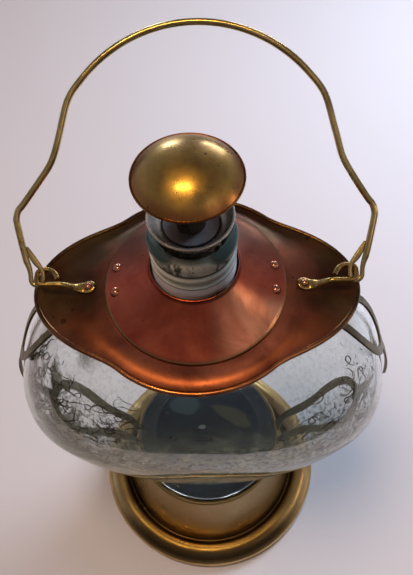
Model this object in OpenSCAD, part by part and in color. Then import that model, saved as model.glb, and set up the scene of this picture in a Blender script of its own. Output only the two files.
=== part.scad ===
// Oil lamp: an oval glass font on a spun brass foot, with a lobed copper collar,
// a corked wick burner, a domed snuffer and a wire bail.
// X runs through the bail's lugs, Y from front to back, Z up; z = 0 is the surface it stands on.

/* [Foot] */
// Outer radius of the brass foot
foot_r = 70; // [66:0.5:76]
// Height of the drum's top, where the glass stands
drum_h = 58; // [52:0.5:64]
// Radius of the drum at its top
drum_top_r = 44.2; // [42:0.1:46]
// Sheet thickness of the spun brass
foot_wall = 1.2; // [0.8:0.1:1.6]

/* [Glass font] */
// Half width of the font along X
font_half_x = 88.8; // [84:0.1:92]
// Half depth of the font along Y
font_half_y = 49; // [46:0.1:54]
// Height of the font's widest ring
font_mid_z = 143.5; // [140:0.5:150]
// Height where the shoulder meets the neck
font_top_z = 226.8; // [224:0.1:228]
// Squareness of the plan at the widest ring (2 is an ellipse)
font_plan = 2.6; // [2:0.1:3]
// Fullness of the lower half
font_low = 1.5; // [1.2:0.05:2]
// Glass thickness
glass_wall = 3; // [2.5:0.1:4]
// Outer radius of the neck
neck_r = 16; // [15.5:0.1:16.2]
// Radius of the bore through the neck
neck_bore_r = 12.6; // [12.4:0.05:13]

/* [Copper collar] */
// Reach of the lobed outline to the left and right
collar_side = 64.8; // [63:0.1:66]
// Reach of the lobed outline to the front and back
collar_front = 45.8; // [45:0.1:47]
// Turn over which a side lobe runs out, in degrees
lobe_turn = 50; // [46:1:54]
// Height of the plate's flat middle
collar_z = 233; // [232.5:0.1:233.5]
// Fall of the plate from the cone to the rim
collar_droop = 3; // [2:0.1:3.5]
// Radius of the cone's foot
cone_r = 36; // [35:0.1:37]
// Radius of the cone's mouth round the neck
cone_mouth_r = 16.9; // [16.6:0.1:17.2]
// Height of the cone's mouth
cone_top_z = 249.2; // [248:0.1:250]

/* [Bail] */
// Lean of the bail from upright when it is at rest, in degrees
bail_lean = 55; // [50:1:55]
// Radius of the bail wire
bail_wire_r = 1.35; // [1.2:0.05:1.4]
// Height of the lug rings' plane, which is the height of the hinge
hinge_z = 236.4; // [236.2:0.1:237]
// Distance of the hinge line behind the centre
hinge_y = 2.6; // [2:0.1:3]

/* [Burner] */
// Radius of the dish at its rim
dish_r = 15.1; // [14.8:0.1:15.4]
// Height of the dish's rim
dish_rim_z = 278.2; // [277.5:0.1:279]
// Radius of the wick tube
tube_r = 4; // [3.8:0.1:4.1]
// Lower end of the wick inside the font
wick_low_z = 132; // [90:1:150]

/* [Snuffer] */
// Radius of the dome's rim
dome_r = 18.6; // [18:0.1:19]
// Height of the dome's rim
dome_rim_z = 297.7; // [297:0.1:299]
// Rise of the dome above its rim
dome_rise = 7.6; // [6:0.1:9]

/* [Hidden] */
$fn = 96;
felt_h = 1.4;
weight_h = 5.8;
foot_bead_r = 3.8;
ledge_z = drum_h - 2.5;
ledge_r = 35;
glass_foot_r = 41.8;
glass_foot_h = 4.5;
waist_r = 31.5;
waist_z = drum_h + 8.5;
floor_z = drum_h + 11;
shoulder_r = 17;
lip_z = 269.5;
collar_t = 1;
collar_scoop = 1.3;
rim_wire_r = 1.1;
cone_t = 0.9;
cone_edge_h = 1.6;
cone_sag = 1;
rivet_x = 31.5;
rivet_y = 5.6;
lug_rivet_x = 43.2;
shank_r = 1.2;
strap_gap = 1.7;
strap_half_w = 1.9;
low_strap_half_w = 2.4;
strap_half_t = 0.5;
leg_gap_y = 7;
fork_edge = 1.4;
liner_h = 0.6;
dish_floor_z = 272.7;
dish_floor_r = 10.3;
dish_t = 0.8;
cork_low_z = 241;
stem_gap = 0.35;
ring_front_y = -1.3;
ring_back_y = 5.7;
ring_wire_r = 1;
ring_corner_r = 2.2;
ring_end_x = 63.2;
hook_r = 2.4;

// ---- small helpers ----
function unit(v) = v / norm(v);
function smooth(t) = let(c = min(1, max(0, t))) c * c * (3 - 2 * c);
function mix(a, b, t) = a + (b - a) * t;
function arc(cx, cy, r, a0, a1, n = 8) =
    [for (i = [0 : n]) let(a = mix(a0, a1, i / n)) [cx + r * cos(a), cy + r * sin(a)]];
function back_to_front(list) = [for (i = [len(list) - 1 : -1 : 0]) list[i]];
// A point on the smooth curve through a list of points, from entry i to entry i + 1
function through(p, i, t) =
    let(a = p[max(0, i - 1)], b = p[i], c = p[i + 1], d = p[min(len(p) - 1, i + 2)])
    0.5 * (2 * b + (c - a) * t + (2 * a - 5 * b + 4 * c - d) * t * t
           + (3 * b - a - 3 * c + d) * t * t * t);
function curve(p, steps) =
    [for (i = [0 : len(p) - 2]) for (k = [0 : steps - 1]) through(p, i, k / steps),
     p[len(p) - 1]];
// An open profile moved sideways by d, to its left as it runs
function beside(p, d) =
    [for (i = [0 : len(p) - 1])
        let(v = unit(p[min(len(p) - 1, i + 1)] - p[max(0, i - 1)])) p[i] + d * [-v[1], v[0]]];

// Skin over rings of points; every ring has the same number of points
module loft(rings, closed = false) {
    n = len(rings);
    m = len(rings[0]);
    sides = [for (i = [0 : n - (closed ? 1 : 2)]) for (j = [0 : m - 1])
        let(a = i * m, b = ((i + 1) % n) * m, k = (j + 1) % m)
        each [[a + j, b + j, b + k], [a + j, b + k, a + k]]];
    caps = closed ? [] : [[for (j = [0 : m - 1]) j], [for (j = [m - 1 : -1 : 0]) (n - 1) * m + j]];
    polyhedron(points = [for (r = rings) each r], faces = concat(sides, caps));
}

// Cross-section outlines for a swept bar, in units of its half width and half thickness
function round_bar(n) = [for (i = [0 : n - 1]) [cos(360 * i / n), sin(360 * i / n)]];

// A bar swept along a path; up is the direction of its thickness, size its half width and height
module bar(path, up, size, outline, closed = false) {
    n = len(path);
    loft([for (i = [0 : n - 1])
        let(before = closed ? (i + n - 1) % n : max(0, i - 1),
            after = closed ? (i + 1) % n : min(n - 1, i + 1),
            along = unit(path[after] - path[before]),
            side = unit(cross(along, up[i])),
            top = cross(side, along))
        [for (q = outline) path[i] + side * size[i][0] * q[0] + top * size[i][1] * q[1]]], closed);
}

// ---- brass foot ----
shoulder_peak = [61.5, 10.6];
groove = [55.4, 8.6];
foot_outline = concat(
    arc(foot_r - foot_bead_r, foot_bead_r, foot_bead_r, -90, 62, 12),
    curve([[67.2, 7.5], [64.6, 9.6], shoulder_peak, [58.4, 10.3], [56.6, 9.1], groove,
           [54.3, 9.5], [53.3, 12.5], [51.2, 22], [48.6, 34], [46.2, 45],
           [drum_top_r, ledge_z - 1]], 4));

module base_felt() {
    color("darkgreen") cylinder(h = felt_h, r = foot_r - foot_bead_r - 1.8);
}

module base_weight() {
    color("dimgray") translate([0, 0, felt_h]) cylinder(h = weight_h, r = groove[0] + 2);
}

module base_shell() {
    bead = arc(drum_top_r - 0.8, drum_h - 1.7, 1.2, -10, 180, 8);
    ledge = [[drum_top_r - 2, ledge_z], [ledge_r, ledge_z], [ledge_r, ledge_z - foot_wall]];
    color("darkgoldenrod") rotate_extrude($fn = 128)
        polygon(concat(foot_outline, bead, ledge,
                       back_to_front(beside(foot_outline, foot_wall))));
}

module foot_pad() {
    color("midnightblue") translate([0, 0, ledge_z]) cylinder(h = drum_h - ledge_z, r = glass_foot_r);
}

// ---- glass font ----
// Half width and half depth at meridian angle t, from -90 at the waist to 90 at the shoulder
function font_round(t) = pow(cos(t), t > 0 ? 1 : 2 / font_low);
function font_height(t) =
    t > 0 ? mix(font_mid_z, font_top_z, sin(t))
          : mix(font_mid_z, waist_z, pow(-sin(t), 2 / font_low));
function font_width(half, t) = mix(t > 0 ? shoulder_r : waist_r, half, font_round(t));
// One ring of the font: a superellipse that turns into a circle at the waist and shoulder
function font_ring(half_x, half_y, z, k) =
    [for (i = [0 : font_sides - 1])
        let(a = 360 * i / font_sides, e = 2 / mix(2, font_plan, k))
        [half_x * sign(cos(a)) * pow(abs(cos(a)), e),
         half_y * sign(sin(a)) * pow(abs(sin(a)), e), z]];
function font_skin(inset, t) =
    font_ring(font_width(font_half_x, t) - inset, font_width(font_half_y, t) - inset,
              font_height(t) - inset * sin(t), font_round(t));
font_sides = 64;
font_steps = [-78, -66, -54, -42, -30, -20, -12, -5, 2, 10, 19, 28, 37, 46, 55, 64, 73, 81];

module glass_font() {
    circles = [[glass_foot_r - 0.8, drum_h], [glass_foot_r, drum_h + 0.8],
               [glass_foot_r, drum_h + glass_foot_h - 1.8],
               [glass_foot_r - 1.6, drum_h + glass_foot_h], [waist_r + 4, drum_h + 5.4],
               [waist_r + 1, drum_h + 6.8], [waist_r, waist_z]];
    outer = concat([for (c = circles) font_ring(c[0], c[0], c[1], 0)],
                   [for (t = font_steps) font_skin(0, t)],
                   [font_ring(shoulder_r, shoulder_r, font_top_z + 1, 0),
                    font_ring(neck_r - 0.2, neck_r - 0.2, font_top_z + 5, 0)]);
    inner_r = neck_bore_r - 0.8;
    inner = concat([font_ring(inner_r, inner_r, font_top_z + 5, 0),
                    font_ring(inner_r, inner_r, font_top_z - glass_wall, 0)],
                   [for (t = back_to_front(font_steps)) font_skin(glass_wall, t)],
                   [font_ring(waist_r - glass_wall - 2, waist_r - glass_wall - 2, floor_z, 0)]);
    neck = concat([[neck_bore_r - 0.4, font_top_z + 2], [neck_r - 1, font_top_z + 2],
                   [neck_r, font_top_z + 4], [neck_r, 254.8], [neck_r - 0.7, 255.6]],
                  arc(neck_r - 0.9, 259.1, 1.1, -75, 75, 6),
                  [[neck_r - 0.7, 262.5]],
                  arc(neck_r - 2.6, 266.2, 3.1, -70, 90, 10),
                  [[neck_bore_r - 0.4, lip_z]]);
    color("lightcyan", 0.4) difference() {
        union() {
            loft(concat(outer, inner));
            rotate_extrude() polygon(neck);
        }
        translate([0, 0, font_top_z - 6]) cylinder(h = 60, r = neck_bore_r);
    }
}

// ---- copper collar ----
// Distance from the axis to the collar's edge: an oval with a lobe at each side, front and back
function collar_edge(a) =
    mix(collar_side, collar_front, smooth(acos(abs(cos(a))) / lobe_turn));
// Height of the plate's top at distance r in direction a: it falls to the rim with a shallow scoop
function collar_height(r, a) =
    let(u = max(0, (r - cone_r) / (collar_edge(a) - cone_r)))
    collar_z - collar_droop * u - collar_scoop * sin(180 * min(1, u));

module collar_plate() {
    sides = 96;
    hole_r = 24;
    steps = [0, 0.2, 0.4, 0.6, 0.8, 1];
    function radius(k, a) = k < 0 ? hole_r : mix(cone_r, collar_edge(a), steps[k]);
    function ring(k, drop) = [for (i = [0 : sides - 1])
        let(a = 360 * i / sides, r = radius(k, a))
        [r * cos(a), r * sin(a), collar_height(r, a) - drop]];
    color("sienna")
        loft(concat([for (k = [-1 : len(steps) - 1]) ring(k, collar_t)],
                    [for (k = [len(steps) - 1 : -1 : -1]) ring(k, 0)]), closed = true);
}

module collar_rim_wire() {
    sides = 96;
    path = [for (i = [0 : sides - 1]) let(a = 360 * i / sides, r = collar_edge(a) - 0.3)
        [r * cos(a), r * sin(a), collar_height(r, a) - collar_t / 2]];
    color("peru") bar(path, [for (p = path) [0, 0, 1]],
                      [for (p = path) [rim_wire_r, rim_wire_r]], round_bar(8), closed = true);
}

// Height of the cone's outer face at distance r from the axis
function cone_height(r) =
    let(k = (cone_r - r) / (cone_r - cone_mouth_r))
    mix(collar_z + cone_edge_h, cone_top_z - 0.4, k) - 4 * cone_sag * k * (1 - k);

module collar_cone() {
    steps = 14;
    face = concat([[cone_r, collar_z + 0.8], [cone_r - 0.3, collar_z + cone_edge_h - 0.2]],
                  [for (i = [1 : steps]) let(r = mix(cone_r - 0.6, cone_mouth_r + 0.8, i / steps))
                      [r, cone_height(r)]],
                  [[cone_mouth_r + 0.2, cone_top_z - 0.2], [cone_mouth_r, cone_top_z]]);
    under = concat([[cone_mouth_r, cone_top_z - 1.6]],
                   [for (i = [steps : -1 : 1])
                       let(r = mix(cone_r - 0.9, cone_mouth_r + 0.8, i / steps))
                       [r - 0.3, cone_height(r) - cone_t]],
                   [[cone_r - 1.6, collar_z]]);
    color("chocolate") difference() {
        rotate_extrude() polygon(concat([[cone_r, collar_z]], face, under));
        for (x = [-rivet_x, rivet_x], y = [-rivet_y, rivet_y])
            translate([x, y, collar_z - 1]) cylinder(h = 12, r = shank_r, $fn = 32);
    }
}

// Domed rivet head of radius r and height h
module rivet_head(r, h) {
    ball = (r * r + h * h) / (2 * h);
    tip = asin(r / ball);
    rotate_extrude($fn = 32)
        polygon(concat([[0, -0.5], [r, -0.5]], arc(0, h - ball, ball, 90 - tip, 90, 6)));
}

module cone_rivets() {
    rivet_r = norm([rivet_x, rivet_y]);
    z = cone_height(rivet_r);
    slope = atan((cone_height(rivet_r - 2) - cone_height(rivet_r + 2)) / 4);
    color("peru") for (x = [-rivet_x, rivet_x], y = [-rivet_y, rivet_y]) {
        translate([x, y, z]) rotate([0, 0, atan2(y, x)]) rotate([0, slope, 0])
            rivet_head(2.1, 1.4);
        translate([x, y, collar_z - 3.4]) cylinder(h = z - collar_z + 3.6, r = shank_r, $fn = 32);
    }
}

module neck_gasket() {
    color("black") translate([0, 0, cone_top_z - 7.2]) difference() {
        cylinder(h = 3.6, r = cone_mouth_r + 2);
        translate([0, 0, -1]) cylinder(h = 6, r = neck_r);
    }
}

// ---- bronze straps that hold the ends of the font from above and below ----
// Meridian of the font in the XZ plane, moved outwards by gap, and its outward direction
function meridian(t) = [font_width(font_half_x, t), 0, font_height(t)];
function outward(t) = let(v = unit(meridian(t + 1) - meridian(t - 1))) [v[2], 0, -v[0]];
function strap_centre(t) = meridian(t) + outward(t) * strap_gap;
// Half of a forked strap, from the root of one leg to the middle of the tongue, mirrored to the
// other half. Its angles t are meridian angles; way is 1 for the upper strap and -1 for the lower.
// Each ring of points goes from the inner edge to the outer one and back underneath.
module forked_strap(way, half_w, root, root_up, leg_t, wide, fork, spread, tongue, lift) {
    turn = [0, 18, 36, 52, 66, 75];
    function at_turn(a) = wide - (wide - fork) * sin(a);
    leg = concat(root,
                 [for (t = leg_t) strap_centre(t)
                     + [0, mix(spread, leg_gap_y, smooth((abs(t) - abs(wide)) / 22)), 0]],
                 [for (a = turn) strap_centre(at_turn(a)) + [0, spread * cos(a), 0]]);
    leg_up = concat(root_up, [for (t = leg_t) outward(t)], [for (a = turn) outward(at_turn(a))]);
    across = [0 : 0.2 : 1];
    back_across = [1 : -0.2 : 0];
    function leg_ring(i) =
        let(along = unit(leg[min(i + 1, len(leg) - 1)] - leg[max(i - 1, 0)]),
            inwards = way * unit(cross(along, leg_up[i])),
            top = way * cross(inwards, along))
        [for (s = [1, -1]) for (u = s > 0 ? across : back_across)
            leg[i] + inwards * half_w * (1 - 2 * u) + top * strap_half_t * s];
    // q is the distance from the middle and the outer edge's meridian angle
    function tongue_ring(q) =
        [for (s = [1, -1]) for (u = s > 0 ? across : back_across)
            let(t = mix(fork + way * fork_edge, q[1], u),
                proud = lift * max(0, 22 - way * t))
            strap_centre(t) + [0, q[0], 0] + outward(t) * (strap_half_t * s + proud)];
    half = concat([for (i = [0 : len(leg) - 1]) leg_ring(i)], [for (q = tongue) tongue_ring(q)]);
    whole = concat(half, [for (i = [len(half) - 2 : -1 : 0])
        [for (p = half[i]) [p[0], -p[1], p[2]]]]);
    loft(way > 0 ? whole : back_to_front(whole));
}

// The upper strap hangs from the cone's rivets; the lower one starts on the foot's drum
module strap_top() {
    under_z = collar_z - collar_t - strap_half_t - 0.2;
    color("darkkhaki") forked_strap(
        1, strap_half_w,
        [[rivet_x - 2.6, rivet_y, under_z], [rivet_x + 2.5, rivet_y, under_z],
         [rivet_x + 9, leg_gap_y, under_z - 3]],
        [[0, 0, 1], [0, 0, 1], [0.4, 0, 1]], [62, 56, 50, 45], 40, 26, 11.2,
        [[2.6, 23.6], [2.2, 18.5], [1.7, 13], [1.2, 7], [0.6, 2], [0, 0]], 0.07);
}

module strap_bottom() {
    root_x = drum_top_r + 0.8;
    color("darkkhaki") forked_strap(
        -1, low_strap_half_w,
        [[root_x, 5.2, drum_h - 6.2], [root_x, 5.2, drum_h - 1.6],
         [root_x + 1.5, 5.7, drum_h + 4.5], [root_x + 4.8, 6.4, drum_h + 12.5]],
        [[1, 0.12, 0], [1, 0.12, 0], [1, 0.1, -0.2], [1, 0, -0.6]], [-59, -54, -49, -44], -38, -24,
        13, [[2.6, -21.6], [2.2, -16.5], [1.7, -11], [1.2, -6], [0.6, -1], [0, 1]], 0.018);
}

module strap_right() { strap_top(); }

module strap_left() { mirror([1, 0, 0]) strap_top(); }

module strap_low_right() { strap_bottom(); }

module strap_low_left() { mirror([1, 0, 0]) strap_bottom(); }

// ---- brass lugs with the rings that carry the bail ----
module lug(side) {
    // The strip lies on the plate, tapers as it rises to the hinge's height and turns into a wire
    strip = [for (x = [40.6, 41.4, 43.2, 45.5, 48, 50.5, 53])
        [x, ring_front_y * smooth((x - 44) / 9),
         mix(collar_height(x, 0) + 0.62, hinge_z, smooth((x - 45) / 8.5))]];
    corner_x = ring_end_x - ring_corner_r;
    ring = concat([[56, ring_front_y], [59, ring_front_y]],
                  arc(corner_x, ring_front_y + ring_corner_r, ring_corner_r, -90, 0, 5),
                  arc(corner_x, ring_back_y - ring_corner_r, ring_corner_r, 0, 90, 5),
                  [[59.2, ring_back_y], [57.4, ring_back_y - 0.7], [55.8, ring_back_y - 2.2],
                   [54.7, 1.1]]);
    path = concat(strip, [for (p = ring) [p[0], p[1], hinge_z]]);
    strip_size = [[1.4, 0.6], [2.3, 0.6], [2.8, 0.6], [2.4, 0.62], [1.8, 0.7], [1.35, 0.82],
                  [1.1, 0.95]];
    size = concat(strip_size, [for (p = ring) [ring_wire_r, ring_wire_r]]);
    color("goldenrod") mirror([side < 0 ? 1 : 0, 0, 0])
        bar(path, [for (p = path) [0, 0, 1]], size, round_bar(10));
}

module lug_right() { lug(1); }

module lug_left() { lug(-1); }

module lug_rivets() {
    z = collar_height(lug_rivet_x, 0);
    color("peru") for (x = [-lug_rivet_x, lug_rivet_x]) {
        translate([x, 0, z + 1.3]) rivet_head(1.8, 1.2);
        translate([x, 0, z - collar_t - 0.8]) cylinder(h = collar_t + 2.2, r = shank_r, $fn = 32);
    }
}

// ---- burner, which pulls out of the neck ----
module burner_plug() {
    grooves = 20;
    color("tan") difference() {
        union() {
            translate([0, 0, cork_low_z]) cylinder(h = 29, r1 = 11.2, r2 = 11.6);
            for (i = [0 : grooves - 1]) rotate([0, 0, 360 * i / grooves])
                translate([11.2, 0, cork_low_z]) cylinder(h = 29, r = 0.95, $fn = 16);
        }
        translate([0, 0, cork_low_z - 1]) cylinder(h = 32, r = tube_r, $fn = 48);
    }
}

module plug_washer() {
    color("goldenrod") translate([0, 0, cork_low_z - 1.2]) difference() {
        cylinder(h = 1.2, r = 9);
        translate([0, 0, -1]) cylinder(h = 4, r = tube_r, $fn = 48);
    }
}

module tube_nut() {
    color("goldenrod") translate([0, 0, cork_low_z - 5.2]) difference() {
        cylinder(h = 4, r = 6.8, $fn = 6);
        translate([0, 0, -1]) cylinder(h = 6, r = tube_r, $fn = 48);
    }
}

module wick_tube() {
    color("goldenrod") translate([0, 0, cork_low_z - 7]) difference() {
        cylinder(h = 47, r = tube_r, $fn = 48);
        translate([0, 0, -1]) cylinder(h = 49, r = tube_r - 0.6, $fn = 48);
    }
}

module burner_dish() {
    inside = concat([[tube_r, dish_floor_z]], curve([[dish_floor_r + 0.1, dish_floor_z],
                    [12.6, dish_floor_z + 2], [dish_r - 0.6, dish_rim_z - 0.2]], 5));
    bead = arc(dish_r - 0.3, dish_rim_z - 0.5, 0.5, 120, -120, 8);
    ferrule = [[11.3, dish_floor_z - 1], [11.3, dish_floor_z - 2.3], [tube_r, dish_floor_z - 2.3]];
    color("silver") rotate_extrude()
        polygon(concat(inside, bead, [[13.1, dish_floor_z + 1.4]], ferrule));
}

module dish_liner() {
    color("dimgray") translate([0, 0, dish_floor_z]) difference() {
        cylinder(h = liner_h, r = dish_floor_r);
        translate([0, 0, -1]) cylinder(h = 3, r = tube_r, $fn = 48);
    }
}

module wick() {
    color("antiquewhite") translate([0, 0, wick_low_z])
        cylinder(h = 285 - wick_low_z, r = tube_r - 0.9, $fn = 32);
}

// ---- snuffer, which lifts off the wick tube ----
stem_low_z = dish_floor_z + liner_h;

module snuffer_stem() {
    color("goldenrod") translate([0, 0, stem_low_z]) difference() {
        cylinder(h = dome_rim_z + 4.5 - stem_low_z, r = tube_r + stem_gap + 0.9, $fn = 64);
        translate([0, 0, -1]) cylinder(h = 40, r = tube_r + stem_gap, $fn = 64);
    }
}

module snuffer_disc() {
    color("darkgoldenrod") translate([0, 0, dome_rim_z - 0.6]) difference() {
        cylinder(h = 0.8, r = dome_r - 2.2);
        translate([0, 0, -1]) cylinder(h = 3, r = tube_r + stem_gap + 0.9, $fn = 64);
    }
}

module snuffer_dome() {
    ball = ((dome_r - 0.6) * (dome_r - 0.6) + dome_rise * dome_rise) / (2 * dome_rise);
    top_z = dome_rim_z + dome_rise;
    tip = asin((dome_r - 0.6) / ball);
    crown = arc(0, top_z - ball, ball, 90, 90 - tip, 20);
    lining = arc(0, top_z - ball, ball - 0.9, 90 - tip, 90, 20);
    rolled_edge = arc(dome_r - 0.7, dome_rim_z - 0.3, 0.7, 50, -150, 8);
    color("darkgoldenrod") rotate_extrude($fn = 128) polygon(concat(crown, rolled_edge, lining));
}

// ---- bail ----
// Right half of the bail in its own plane: x from the middle, s from the hinge line towards the top
hook = concat([[66.7, 11.8], [66, 10.2], [64.7, 7.6], [63.1, 5.2], [61.7, 3.4], [60.9, 1.6]],
              arc(ring_end_x, -1.2, hook_r, 180, 360, 8),
              [[65.65, 0.8], [66, 2.8], [66.6, 4.8]]);
// A round elbow, a drawn-in waist and a round top
elbow_r = 8;
elbow_middle = [62.5, 22.5];
top_r = 58;
top_middle = 39.5;
bow = curve(concat([[67.4, 7.4]], arc(elbow_middle[0], elbow_middle[1], elbow_r, -15, 50, 3),
                   [[61.5, 37.5], [57, 45], [54, 55]], arc(0, top_middle, top_r, 30, 90, 6)), 3);
bow_skew = 1.4;
// Half width in the bail's plane and half thickness across it, along the hook
hook_size = concat([[0.35, 0.45], [0.8, 0.5], [1.25, 0.52], [1.25, 0.52], [1, 0.52], [0.9, 0.52]],
                   [for (i = [1 : 9]) [0.95, i < 5 ? 0.52 : 0.6]],
                   [[0.95, 0.7], [1.05, 0.85], [1.2, 1.05]]);

module bail_handle() {
    half = concat(hook, bow);
    half_size = concat(hook_size, [for (p = bow) [bail_wire_r, bail_wire_r]]);
    last = len(half) - 1;
    whole = concat(half, [for (i = [last - 1 : -1 : 0]) [-half[i][0], half[i][1]]]);
    sizes = concat(half_size, [for (i = [last - 1 : -1 : 0]) half_size[i]]);
    lean = [0, sin(bail_lean), cos(bail_lean)];
    across = [0, cos(bail_lean), -sin(bail_lean)];
    path = [for (p = whole)
        [p[0] + bow_skew * smooth((p[1] - 24) / 30), hinge_y, hinge_z] + p[1] * lean];
    color("darkkhaki") bar(path, [for (p = path) across], sizes, round_bar(10));
}

base_felt();
base_weight();
base_shell();
foot_pad();
glass_font();
collar_plate();
collar_rim_wire();
collar_cone();
cone_rivets();
neck_gasket();
strap_right();
strap_left();
strap_low_right();
strap_low_left();
lug_right();
lug_left();
lug_rivets();
burner_plug();
plug_washer();
tube_nut();
wick_tube();
burner_dish();
dish_liner();
wick();
snuffer_stem();
snuffer_disc();
snuffer_dome();
bail_handle();
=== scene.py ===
"""Looks of the oil lamp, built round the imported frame.

Shapes are in millimetres until a mesh is made. Materials, lights and the camera are in metres.
"""

import math
import random

import bpy
import numpy as np
from mathutils import Matrix, Vector


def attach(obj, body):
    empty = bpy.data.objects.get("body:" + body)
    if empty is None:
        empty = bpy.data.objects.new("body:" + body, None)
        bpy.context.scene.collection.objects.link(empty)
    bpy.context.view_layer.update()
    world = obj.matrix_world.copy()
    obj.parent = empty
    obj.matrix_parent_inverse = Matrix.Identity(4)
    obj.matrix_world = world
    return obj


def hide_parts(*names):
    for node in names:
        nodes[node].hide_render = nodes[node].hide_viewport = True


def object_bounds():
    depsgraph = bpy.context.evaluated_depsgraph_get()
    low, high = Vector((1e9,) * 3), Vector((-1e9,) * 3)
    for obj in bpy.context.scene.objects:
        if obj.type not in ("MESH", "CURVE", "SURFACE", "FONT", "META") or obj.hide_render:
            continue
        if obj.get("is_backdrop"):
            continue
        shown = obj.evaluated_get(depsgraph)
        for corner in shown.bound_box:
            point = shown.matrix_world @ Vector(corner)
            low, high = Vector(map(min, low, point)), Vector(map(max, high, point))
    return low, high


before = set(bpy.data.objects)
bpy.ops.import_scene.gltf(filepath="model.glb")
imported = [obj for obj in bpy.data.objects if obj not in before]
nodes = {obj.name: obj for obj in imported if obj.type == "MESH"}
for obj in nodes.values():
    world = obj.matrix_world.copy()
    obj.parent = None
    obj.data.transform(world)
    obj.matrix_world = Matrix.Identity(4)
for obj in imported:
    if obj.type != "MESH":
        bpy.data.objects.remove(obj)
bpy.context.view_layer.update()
MM = 0.001
Z_AXIS = np.array([0.0, 0.0, 1.0])


# ---------------------------------------------------------------- shapes
def mix(a, b, t):
    return a + (b - a) * t


def smooth(t):
    t = min(1.0, max(0.0, t))
    return t * t * (3 - 2 * t)


def arc(cx, cy, r, a0, a1, n=8):
    angles = [math.radians(mix(a0, a1, i / n)) for i in range(n + 1)]
    return [(cx + r * math.cos(a), cy + r * math.sin(a)) for a in angles]


def curve(points, steps):
    """A smooth line through the points."""
    p = [np.array(q, float) for q in points]
    out = []
    for i in range(len(p) - 1):
        a, b, c, d = p[max(0, i - 1)], p[i], p[i + 1], p[min(len(p) - 1, i + 2)]
        for k in range(steps):
            t = k / steps
            out.append(0.5 * (2 * b + (c - a) * t + (2 * a - 5 * b + 4 * c - d) * t * t
                              + (3 * b - a - 3 * c + d) * t ** 3))
    return out + [p[-1]]


def beside(points, d):
    """An open profile moved to its left by d."""
    p = [np.array(q, float) for q in points]
    out = []
    for i, q in enumerate(p):
        v = p[min(len(p) - 1, i + 1)] - p[max(0, i - 1)]
        v = v / np.linalg.norm(v)
        out.append(q + d * np.array([-v[1], v[0]]))
    return out


def piece(name, points, faces, body, material, slot, replaces=(), crease=35):
    """A mesh from points in millimetres, riding on a body."""
    mesh = bpy.data.meshes.new(name)
    mesh.from_pydata([tuple(float(c) * MM for c in p) for p in points], [], faces)
    mesh.validate()
    mesh.shade_smooth()
    mesh.set_sharp_from_angle(angle=math.radians(crease))
    mesh.materials.append(material)
    obj = bpy.data.objects.new(name, mesh)
    bpy.context.scene.collection.objects.link(obj)
    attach(obj, body)
    if replaces:
        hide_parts(*replaces)
    return obj


def lathe(profile, sides=192):
    """Points and faces of a closed profile of (radius, height) turned about Z."""
    points, rings, faces = [], [], []
    for r, z in profile:
        if r < 1e-6:
            rings.append([len(points)] * sides)
            points.append((0.0, 0.0, z))
        else:
            rings.append(list(range(len(points), len(points) + sides)))
            points += [(r * math.cos(2 * math.pi * i / sides),
                        r * math.sin(2 * math.pi * i / sides), z) for i in range(sides)]
    for k in range(len(rings)):
        a, b = rings[k], rings[(k + 1) % len(rings)]
        if a[0] == a[1] and b[0] == b[1]:
            continue
        for i in range(sides):
            j = (i + 1) % sides
            faces.append(tuple(dict.fromkeys([a[i], a[j], b[j], b[i]])))
    return points, faces


def loft(rings, closed=False):
    """Points and faces of a skin over rings of points, capped unless it closes on itself."""
    n, m = len(rings), len(rings[0])
    points = [tuple(p) for r in rings for p in r]
    faces = []
    for i in range(n if closed else n - 1):
        for j in range(m):
            a, b, k = i * m, (i + 1) % n * m, (j + 1) % m
            faces.append((a + j, a + k, b + k, b + j))
    if not closed:
        faces.append(tuple(range(m - 1, -1, -1)))
        faces.append(tuple((n - 1) * m + j for j in range(m)))
    return points, faces


def swept(path, up, sizes, sides=20, closed=False):
    """A bar of oval section along a path; up is the direction of its thickness."""
    p = [np.array(q, float) for q in path]
    n, rings = len(p), []
    for i in range(n):
        before = (i - 1) % n if closed else max(0, i - 1)
        after = (i + 1) % n if closed else min(n - 1, i + 1)
        along = p[after] - p[before]
        along /= np.linalg.norm(along)
        side = np.cross(along, up[i])
        side /= np.linalg.norm(side)
        top = np.cross(side, along)
        w, h = sizes[i]
        rings.append([p[i] + side * w * math.cos(2 * math.pi * j / sides)
                      + top * h * math.sin(2 * math.pi * j / sides) for j in range(sides)])
    return loft(rings, closed)


def join(parts):
    points, faces = [], []
    for p, f in parts:
        faces += [tuple(i + len(points) for i in q) for q in f]
        points += p
    return points, faces


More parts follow.
